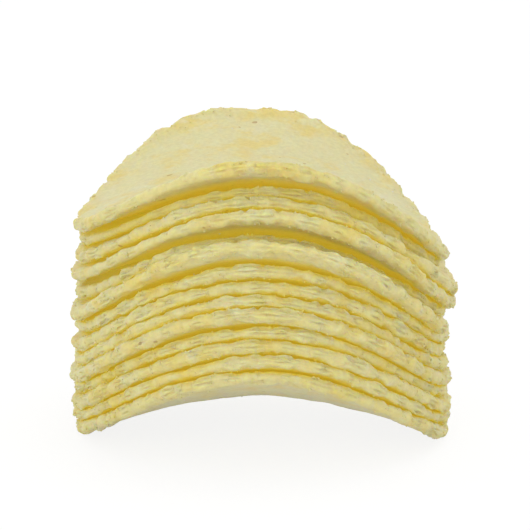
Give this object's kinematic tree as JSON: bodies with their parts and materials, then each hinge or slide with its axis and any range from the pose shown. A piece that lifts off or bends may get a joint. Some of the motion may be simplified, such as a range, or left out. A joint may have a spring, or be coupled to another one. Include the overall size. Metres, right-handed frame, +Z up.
{
  "type": "stack of saddle-shaped potato crisps",
  "caption": "Neat stack of thin oval potato crisps, each curved into a saddle and nested on the one below, resting on the two side edges of the lowest.",
  "frame": {"origin": "under the middle of the stack's bounding box, on the surface that it rests on", "axes": "+Z up; +Y along the crisps' long axis, the way that their ends turn up; X across them, the way that they arch down"},
  "size_m": [0.0516, 0.068, 0.0406],
  "materials": {
    "fried_potato": "matte, slightly oily and granular, with fine salt"
  },
  "bodies": {
    "root": {"bottom_crisp": "fried_potato", "crisp_02": "fried_potato", "crisp_03": "fried_potato", "crisp_04": "fried_potato", "crisp_05": "fried_potato", "crisp_06": "fried_potato", "crisp_07": "fried_potato", "crisp_08": "fried_potato", "crisp_09": "fried_potato", "crisp_10": "fried_potato", "crisp_11": "fried_potato", "crisp_12": "fried_potato", "crisp_13": "fried_potato", "top_crisp": "fried_potato"}
  },
  "joints": []
}
